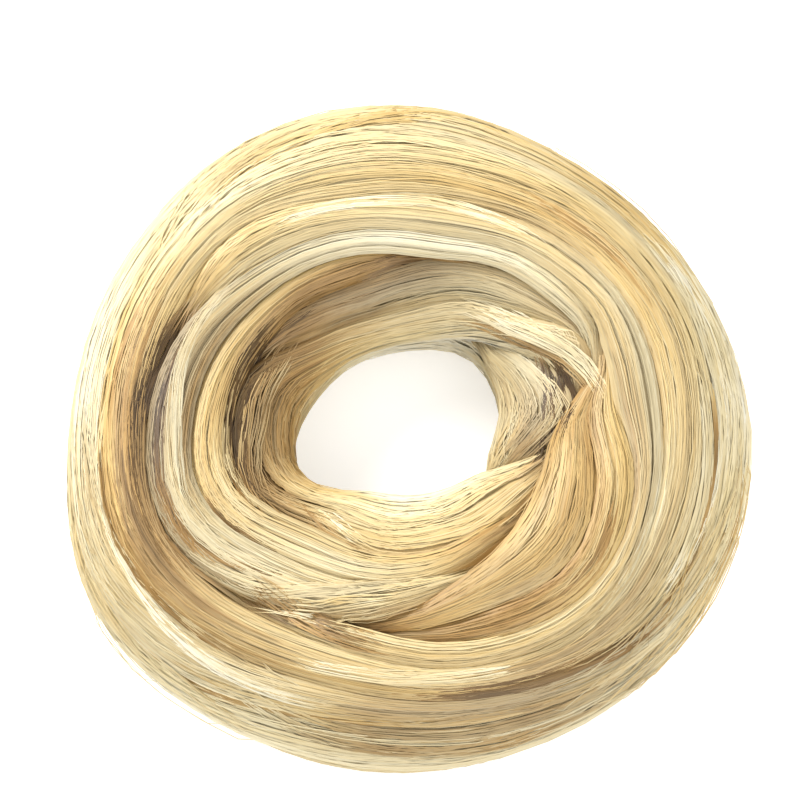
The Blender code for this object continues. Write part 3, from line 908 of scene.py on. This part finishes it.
# %% Tresses over the locks
SECTION_LENGTH = 0.075
TRESS_ROWS = 50
TRESS_COLUMNS = 5
TRESS_FADE = 0.5
RISE_PASSES = 4
TRESS_HEADS = ("slot", "strands", "width", "lift", "loose", "tone", "ash", "path")
TRESSES = {
    # Painted shade: dark strands along the valley on the left.
    "left_furrow": ("deep", 172, 66, 4, 3, 17, 5, ((146, 510), (165, 522), (185, 538), (207, 545),
        (232, 540))),
    "left_furrow_gold": ("golden", 40, 24, 4, 3, 42, 0, ((146, 545), (170, 570), (190, 572),
        (210, 570))),
    "cream_left": ("pale", 60, 22, 5, 4, 90, 55, ((172, 600), (190, 645), (213, 645), (231, 660),
        (250, 652), (264, 640))),
    "brown_left": ("deep", 26, 13, 3, 3, 34, 15, ((200, 610), (213, 625), (225, 633), (238, 642))),
    "low_gold": ("golden", 44, 22, 3, 4, 44, 0, ((212, 760), (231, 745), (247, 700), (262, 675),
        (280, 670))),
    "low_highlight": ("pale", 46, 28, 6, 4, 67, 60, ((206, 545), (221, 530), (233, 515), (246, 480),
        (262, 450), (280, 430))),
    # Painted shade: dark strands along the crease low on the right.
    "right_crease": ("deep", 100, 36, 3, 3, 25, 22, ((258, 620), (278, 618), (292, 635), (306, 660),
        (318, 690), (332, 705))),
    "top_brown": ("deep", 44, 22, 3, 4, 40, 25, ((128, 640), (113, 700), (102, 730), (90, 740),
        (76, 730))),
    "upper_right_brown": ("golden", 34, 18, 3, 4, 42, 0, ((70, 520), (52, 530), (36, 550), (16, 570))),
    "lip_shade": ("deep", 90, 32, 0, 3, 21, 15, ((158, 385), (132, 368), (112, 352), (92, 358),
        (74, 362), (56, 372))),
    # Painted shade: dark strands on the shaded left wall of the hole.
    "hole_left_dark": ("deep", 124, 44, 4, 5, 10, 0, ((134, 360), (152, 370), (170, 373), (192, 380),
        (218, 395))),
    "hole_left_pale": ("pale", 34, 44, 4, 6, 52, 30, ((132, 300), (156, 330), (180, 345), (204, 370),
        (228, 390))),
    "far_shade": ("deep", 60, 26, 2, 3, 16, 10, ((168, 375), (154, 366), (141, 356), (128, 345),
        (112, 336))),
    # Painted shade: dark strands in two dips low on the left.
    "furrow_low_left": ("deep", 40, 18, 2, 3, 22, 20, ((200, 455), (212, 450), (224, 443), (238, 435))),
    "dip_low_left": ("deep", 36, 18, 3, 3, 24, 25, ((207, 515), (218, 507), (228, 494), (240, 478))),
    "left_gold": ("golden", 50, 26, 3, 3, 52, 0, ((146, 570), (166, 595), (180, 605), (196, 605),
        (212, 598))),
    "right_pale": ("pale", 46, 24, 4, 4, 82, 40, ((14, 600), (358, 615), (344, 635), (330, 655),
        (314, 668))),
    "right_inner_pale": ("pale", 40, 22, 3, 4, 80, 40, ((358, 545), (343, 560), (330, 578), (315, 600),
        (298, 612))),
    "right_brown": ("deep", 34, 18, 3, 4, 36, 10, ((10, 625), (354, 645), (340, 665), (326, 690),
        (312, 700))),
    "fan_brown": ("golden", 44, 28, 3, 3, 36, 0, ((338, 500), (326, 525), (314, 542), (298, 545))),
    "knot_dark": ("deep", 84, 46, 3, 3, 10, 20, ((32, 352), (17, 362), (5, 372), (352, 370),
        (334, 355))),
    "rim_brown": ("golden", 30, 18, 3, 5, 36, 5, ((214, 335), (228, 362), (242, 388), (260, 412))),
    "rim_pale": ("bright", 12, 16, 2, 4, 80, 20, ((218, 330), (234, 352), (248, 378), (266, 400))),
    # Painted shade: dark strands in the crotch, among the crossing ones.
    "hatch_dark": ("deep", 60, 36, 4, 5, 28, 20, ((224, 530), (238, 528), (250, 525), (266, 528))),
    "hatch_pale": ("pale", 30, 36, 9, 6, 76, 35, ((230, 545), (244, 520), (256, 495), (274, 465))),
    "hatch_brown": ("golden", 34, 36, 8, 6, 38, 10, ((226, 505), (240, 518), (252, 530), (270, 545))),
    "ash_pale": ("ash", 44, 26, 4, 4, 64, 75, ((132, 460), (155, 485), (174, 492), (192, 492),
        (214, 500))),
    "cross_pale": ("pale", 60, 34, 5, 6, 76, 65, ((82, 270), (54, 305), (34, 360), (16, 420),
        (0, 460))),
    "cross_brown": ("ash", 34, 22, 5, 5, 38, 40, ((80, 240), (56, 280), (34, 335), (18, 390),
        (4, 430))),
    "bottom_pale": ("pale", 44, 24, 4, 4, 82, 35, ((240, 595), (262, 587), (280, 592), (302, 614))),
    "top_pale": ("pale", 50, 24, 4, 4, 84, 45, ((132, 500), (108, 475), (88, 465), (66, 460),
        (46, 470))),
    "top_sweep": ("golden", 110, 100, 4, 5, 64, 30, ((150, 600), (126, 650), (102, 680), (78, 700),
        (50, 690))),
    "left_sweep": ("pale", 100, 90, 4, 5, 62, 60, ((160, 740), (182, 710), (204, 680), (226, 660),
        (250, 660))),
    "low_sweep": ("ash", 100, 90, 4, 5, 52, 60, ((236, 660), (258, 690), (280, 700), (302, 730),
        (326, 750))),
    "right_sweep": ("pale", 100, 90, 4, 5, 81, 18, ((44, 670), (28, 680), (10, 690), (352, 700),
        (328, 720))),
    "near_edge_strays": ("pale", 26, 120, 3, 18, 70, 40, ((196, 740), (214, 780), (232, 800),
        (250, 800))),
    "right_edge_strays": ("ash", 44, 140, 3, 20, 56, 30, ((2, 700), (340, 730), (320, 750),
        (294, 770))),
    "hole_strays_right": ("pale", 24, 80, 3, 14, 66, 60, ((48, 200), (22, 240), (0, 260), (338, 240),
        (318, 200))),
    "hole_strays_left": ("deep", 22, 80, 3, 14, 46, 40, ((116, 190), (146, 230), (174, 250), (202, 240),
        (232, 200))),
    "upper_edge_strays": ("pale", 22, 120, 3, 14, 74, 30, ((70, 740), (50, 760), (28, 760), (6, 740))),
}


def smooth_path(path, count):
    """Angles and shares along a smooth curve through a few chosen points."""
    angles = np.unwrap(np.radians([point[0] for point in path]))
    columns = np.stack([angles, [point[1] for point in path]], axis=-1)
    slopes = np.gradient(columns, axis=0)
    at = np.linspace(0, len(path) - 1, count)
    low = np.minimum(at.astype(int), len(path) - 2)
    return cubic((at - low)[:, None], columns[low], columns[low + 1], slopes[low], slopes[low + 1])


def beneath(angle, share):
    """Height of the hair above the coil, its tone and its ash, at any angle and share."""
    found = np.zeros((3,) + share.shape)
    for name in LOCK_COLUMNS[1:]:
        low, high = lock_edges(name, angle)
        part = (share - low) / np.maximum(high - low, 1e-6)
        crest, groove = lock_crown(name, angle, low, high)
        rise = crest - groove * (2 * part - 1)**2
        hole_side, outer_side, ash = tone_columns(name, np.degrees(angle))
        tone = hole_side * (1 - part) + outer_side * part
        there = (share >= low) & (share < high) & (high > low)
        found = np.where(there, np.array((rise, tone, ash)), found)
    return found


def add_tress(name, row, seed):
    """One bundle of strands along its own path."""
    tress = dict(zip(TRESS_HEADS, row))
    width, lift, loose = (tress[head] / 10000 for head in ("width", "lift", "loose"))
    line = smooth_path([(degrees, share / 1000) for degrees, share in tress["path"]], TRESS_ROWS)
    across = np.linspace(0, 1, TRESS_COLUMNS)
    angle = np.repeat(line[:, :1], TRESS_COLUMNS, axis=1)
    share = line[:, 1:] + (across[None, :] - 0.5) * width / SECTION_LENGTH
    rise, tone_beneath, ash_beneath = beneath(angle, share)
    rise = rise + lift
    for _ in range(RISE_PASSES):
        rise[1:-1] = (rise[:-2] + rise[1:-1] * 2 + rise[2:]) / 4
    points = section_point(angle, share_turn(share), LOCK_THICKNESS - rise) + PLAN_SHIFT
    if line[-1, 0] < line[0, 0]:
        points = points[:, ::-1]
    length, _ = sheet_measure(points)
    to_end = 1 - np.abs(np.linspace(-1, 1, TRESS_ROWS))
    own = np.minimum(1, to_end / TRESS_FADE)[:, None]
    own = own * own * (3 - 2 * own)
    tone = tress["tone"] / 100 * own + tone_beneath * (1 - own)
    ash = tress["ash"] / 100 * own + ash_beneath * (1 - own)
    sheet = guide(name + "_sheet", points, 1.0, across, tone, ash, 0.0)
    bend = abs(line[-1, 0] - line[0, 0]) / length
    strands = grow(name + "_tress", sheet, STRAND_FINISH, **{"Strands": tress["strands"],
        "Points": points_along(length, bend), "Shortest": 0.30, "Longest": 0.95,
        "Wisps": max(1.0, round(width / WISP_WIDTH)), "Gather": 0.2, "Wander": 0.10,
        "Cross": 0.3 + 300 * loose, "Converge": 0.3, "Puff": 0.0002, "Loose": loose,
        "Streaks": width / STREAK_WIDTH, "Tone spread": 0.12, "Margin": 0.0, "Seed": seed})
    hand_over(strands, "hair_" + tress["slot"])
    return triangles(strands)


total = 0
for number, (name, row) in enumerate(TRESSES.items()):
    total += add_tress(name, row, 500 + 20 * number)
print("All tresses:", total, "triangles")

# %% [markdown]
# ## The underside
#
# Beneath the locks lies the coil they are wound on, and in a groove of its flat foot the elastic
# that grips the wearer's bun. Neither shows in the photograph, so both are plain guesses: hair
# like the rest, in a darker tone, and a braided cord. The coil is a sheet of the same section
# rule, closed on itself, with a round groove pressed in along the elastic's path. Loose strands
# run along its foot.

# %% The coil and the strands beneath it
COIL_ROWS = 128
COIL_TONE = 0.42
COIL_ASH = 0.30
COIL_STRANDS_PALER = 0.06
COIL_STRANDS = 330
GROOVE_RADIUS = ELASTIC_DIAMETER / 2 + ELASTIC_GAP * 2
ELASTIC_HEIGHT = ELASTIC_GAP + ELASTIC_DIAMETER / 2
FLAT_TURN = 61
STRAND_TURN = FLAT_TURN - 14
FOOT_POINTS, CROWN_POINTS, SHEET_POINTS = 56, 20, 40


def press_groove(points, angle):
    """Lifts the points of the coil's foot where the elastic's groove runs."""
    plain = points - PLAN_SHIFT
    from_path = np.hypot(plain[..., 0], plain[..., 1]) - inner_radius(angle) - ELASTIC_SETBACK
    arch = ELASTIC_HEIGHT + np.sqrt(np.maximum(GROOVE_RADIUS**2 - from_path**2, 0))
    pressed = (np.abs(from_path) < GROOVE_RADIUS) & (points[..., 2] < ELASTIC_HEIGHT)
    points[..., 2] = np.where(pressed, arch, points[..., 2])
    return points


def coil_body():
    """The closed body of the coil."""
    angle = np.linspace(0, 2 * np.pi, COIL_ROWS, endpoint=False)[:, None]
    foot = np.linspace(180 + FLAT_TURN, 360 - FLAT_TURN, FOOT_POINTS)
    crown = np.linspace(-FLAT_TURN, 180 + FLAT_TURN, CROWN_POINTS)[1:-1]
    turn = np.radians(np.concatenate([foot, crown]))[None, :]
    points = section_point(angle, turn, LOCK_THICKNESS + SEAT_GAP) + PLAN_SHIFT
    points[..., 2] = np.maximum(points[..., 2], BODY_SUNK)
    points = press_groove(points, angle)
    faces = grid_faces(*points.shape[:2], wrap_rows=True, wrap_columns=True)
    return closed_body("coil_body", points, faces, COIL_TONE, COIL_ASH)


def coil_strands():
    """Strands that run along the foot of the coil."""
    angle = np.linspace(0, 2 * np.pi, SHEET_ROWS)[:, None]
    turn = np.radians(np.linspace(180 + STRAND_TURN, 360 - STRAND_TURN, SHEET_POINTS))[None, :]
    points = section_point(angle, turn, LOCK_THICKNESS + SEAT_GAP) + PLAN_SHIFT
    points = press_groove(points, angle)[:, ::-1]
    length, _ = sheet_measure(points)
    sheet = guide("coil_sheet", points, 1.0, np.linspace(0, 1, SHEET_POINTS),
        COIL_TONE + COIL_STRANDS_PALER, COIL_ASH, 0.0)
    return grow("coil_strands", sheet, STRAND_FINISH, **{"Strands": COIL_STRANDS,
        "Points": points_along(length * 0.4, 2 * math.pi / length), "Shortest": 0.22, "Longest": 0.40,
        "Whole loop": 1.0, "Thin radius": THIN * 1.5, "Thick radius": THICK * 1.3, "Wisps": 8.0,
        "Cross": 0.12, "Wander": 0.03, "Puff": 0.0001, "Loose": 0.0003, "Streaks": 16.0, "Margin": 0.0,
        "Seed": 40})


for piece in (coil_body(), coil_strands()):
    hand_over(piece, "hair_deep", "inner_coil")
    print(piece.name, "has", triangles(piece), "triangles")

# %% [markdown]
# ## The elastic
#
# Such an elastic is a rubber core in a braided cover: two sets of yarns wind round it in
# opposite ways and pass over and under one another. One yarn could be drawn and turned about
# the axis, but the core is a bent loop, so Geometry Nodes copies the loop once for each yarn
# and moves the points of each copy round it.

# %% The elastic's path, core and braid
LOOP_POINTS = 128
CORE_RADIUS = 0.00100
YARNS_EACH_WAY = 6
YARN_RADIUS = 0.00034
WINDINGS = 36
YARN_WAVE = 0.00012
SPECK_SCALE = 900.0
SPECK_COLOUR = (0.1, 0.07, 0.04, 1)
BRAID_INPUTS = {
    "Yarns": YARNS_EACH_WAY, "Windings": float(WINDINGS), "Way": 1.0, "Points": WINDINGS * 9,
    "Distance": CORE_RADIUS, "Wave": YARN_WAVE, "Yarn radius": YARN_RADIUS, "Sides": 4,
}


def cord_finish(name, colour, roughness, speck):
    """Textile or rubber in one colour, with a soft drift of its shade."""
    material, tree, shader = new_finish(name, roughness)
    place = node(tree, "TexCoord", output="Object")
    noise = node(tree, "TexNoise", {"Vector": place, "Scale": SPECK_SCALE})
    shade = node(tree, "Mix", {"Factor": (noise * speck).clamped(), 6: colour, 7: SPECK_COLOUR}, 2,
        data_type="RGBA")
    tree.links.new(shade.socket, shader.inputs["Base Color"])
    return material


def braid_tree():
    """Yarns that wind one way round a closed loop of points."""
    tree, given = tree_with_inputs("braid_round_a_loop", BRAID_INPUTS)
    loop = node(tree, "MeshToCurve", {"Mesh": given["Geometry"]})
    loop = node(tree, "ResampleCurve", {"Curve": loop, "Count": given["Points"]}, mode="COUNT")
    copies = node(tree, "DuplicateElements", {"Geometry": loop, "Amount": given["Yarns"]},
        domain="SPLINE")
    index = node(tree, "InputIndex")
    step = index.maths("MODULO", index, given["Points"]) / given["Points"]
    phase = copies.other("Duplicate Index") / given["Yarns"]
    turn = (step * given["Windings"] * given["Way"] + phase) * (2 * math.pi)
    wave = (step * given["Windings"] * given["Yarns"] + phase * given["Yarns"]) * math.pi
    distance = given["Distance"] + wave.maths("SINE", wave) * given["Wave"] * given["Way"]
    tangent = node(tree, "InputTangent")
    aside = node(tree, "VectorMath", {0: tangent, 1: (0.0, 0.0, 1.0)}, operation="CROSS_PRODUCT")
    aside = node(tree, "VectorMath", {"Vector": aside, "Scale": distance * turn.maths("COSINE", turn)},
        operation="SCALE")
    above = node(tree, "CombineXYZ", {"Z": distance * turn.maths("SINE", turn)})
    offset = node(tree, "VectorMath", {0: aside, 1: above}, operation="ADD")
    wound = node(tree, "SetPosition", {"Geometry": copies, "Offset": offset})
    profile = node(tree, "CurvePrimitiveCircle", {"Resolution": given["Sides"],
        "Radius": given["Yarn radius"]})
    yarns = node(tree, "CurveToMesh", {"Curve": wound, "Profile Curve": profile})
    yarns = node(tree, "SetShadeSmooth", {"Geometry": yarns})
    return ended(tree, given, yarns)


def elastic_path(name):
    """The loop of points that the elastic follows, as a mesh of edges."""
    angle = np.linspace(0, 2 * np.pi, LOOP_POINTS, endpoint=False)
    radius = inner_radius(angle) + ELASTIC_SETBACK
    points = np.stack([radius * np.cos(angle), radius * np.sin(angle),
        np.full(LOOP_POINTS, ELASTIC_HEIGHT)], axis=-1) + PLAN_SHIFT
    mesh = bpy.data.meshes.new(name)
    edges = [(index, (index + 1) % LOOP_POINTS) for index in range(LOOP_POINTS)]
    mesh.from_pydata([tuple(point) for point in points], edges, [])
    return add_object(name, mesh)


BRAID_TREE = braid_tree()
RUBBER = cord_finish("elastic_rubber", from_screen(196, 176, 140), 0.6, 0.2)
YARN = cord_finish("elastic_yarn", from_screen(222, 200, 158), 0.8, 0.35)
PARTS_OF_ELASTIC = (
    ("elastic_core", RUBBER, {"Yarns": 1, "Windings": 0.0, "Points": 96, "Distance": 0.0,
        "Wave": 0.0, "Yarn radius": CORE_RADIUS, "Sides": 12}),
    ("elastic_yarns_right", YARN, {"Way": 1.0}),
    ("elastic_yarns_left", YARN, {"Way": -1.0}),
)
for name, material, sizes in PARTS_OF_ELASTIC:
    cord = grow(name, elastic_path(name + "_path"), material, BRAID_TREE, **sizes)
    hand_over(cord, "elastic", "elastic_loop")
    print(name, "has", triangles(cord), "triangles")

# %% [markdown]
# ## Light, floor and camera
#
# The photograph has a white ground, a soft key light from the far left and almost no shadow.
# The camera looks down steeply with a long lens.

# %% Studio
FLOOR_HALF = 3.0
FLOOR_WHITE = (0.88, 0.88, 0.88, 1)
FLOOR_GLOW = 0.40
LIGHT_AIM = Vector((0, 0, 0.01))
LIGHTS = (
    ("key_softbox", (-0.60, 0.60, 0.70), 0.6, 11.6, (1.0, 0.99, 0.97)),
    ("front_fill", (0.5, -0.9, 0.9), 0.9, 6.5, (1, 1, 1)),
)

corners = np.array([(x, y, 0.0) for x, y in ((-1, -1), (1, -1), (1, 1), (-1, 1))]) * FLOOR_HALF
floor = new_object("studio_floor", corners, [(0, 1, 2, 3)])
white, _, shader = new_finish("studio_white", 0.9)
shader.inputs["Base Color"].default_value = FLOOR_WHITE
shader.inputs["Emission Color"].default_value = (1, 1, 1, 1)
shader.inputs["Emission Strength"].default_value = FLOOR_GLOW
floor.data.materials.append(white)

bpy.context.scene.cycles.diffuse_bounces = 3
bpy.context.scene.cycles.max_bounces = 6
for name, place, size, watts, colour in LIGHTS:
    lamp = bpy.data.lights.new(name, "AREA")
    lamp.size, lamp.energy, lamp.color = size, watts, colour
    softbox = add_object(name, lamp)
    softbox.location = place
    softbox.rotation_euler = (LIGHT_AIM - Vector(place)).to_track_quat("-Z", "Y").to_euler()

world = bpy.data.worlds.new("studio_white")
bpy.context.scene.world = world
world.use_nodes = True
sky = world.node_tree.nodes["Background"]
sky.inputs["Color"].default_value = (1, 1, 1, 1)
sky.inputs["Strength"].default_value = 1.0
bpy.context.scene.view_settings.view_transform = "Standard"

# %% Camera
IMAGE_SIDE = 800
SENSOR = 36
FIELD = 0.1518
CAMERA_DISTANCE = 0.9
CAMERA_ELEVATION = math.radians(70)
RING_MIDDLE = Vector((0, 0, 0.017)) + Vector(PLAN_SHIFT)
RING_MIDDLE_PIXEL = (405.5, 436.5)

back = Vector((0, -math.cos(CAMERA_ELEVATION), math.sin(CAMERA_ELEVATION)))
right = Vector((1, 0, 0))
above = back.cross(right)
pixel = FIELD / IMAGE_SIDE
aim = RING_MIDDLE - right * (RING_MIDDLE_PIXEL[0] - IMAGE_SIDE / 2) * pixel
aim = aim + above * (RING_MIDDLE_PIXEL[1] - IMAGE_SIDE / 2) * pixel
lens = bpy.data.cameras.new("camera")
lens.sensor_width = SENSOR
lens.lens = SENSOR * CAMERA_DISTANCE / FIELD
camera = add_object("camera", lens)
camera.location = aim + back * CAMERA_DISTANCE
camera.rotation_euler = (-back).to_track_quat("-Z", "Y").to_euler()
bpy.context.scene.camera = camera
print("Camera lens", round(lens.lens, 1), "mm at", [round(part, 4) for part in camera.location])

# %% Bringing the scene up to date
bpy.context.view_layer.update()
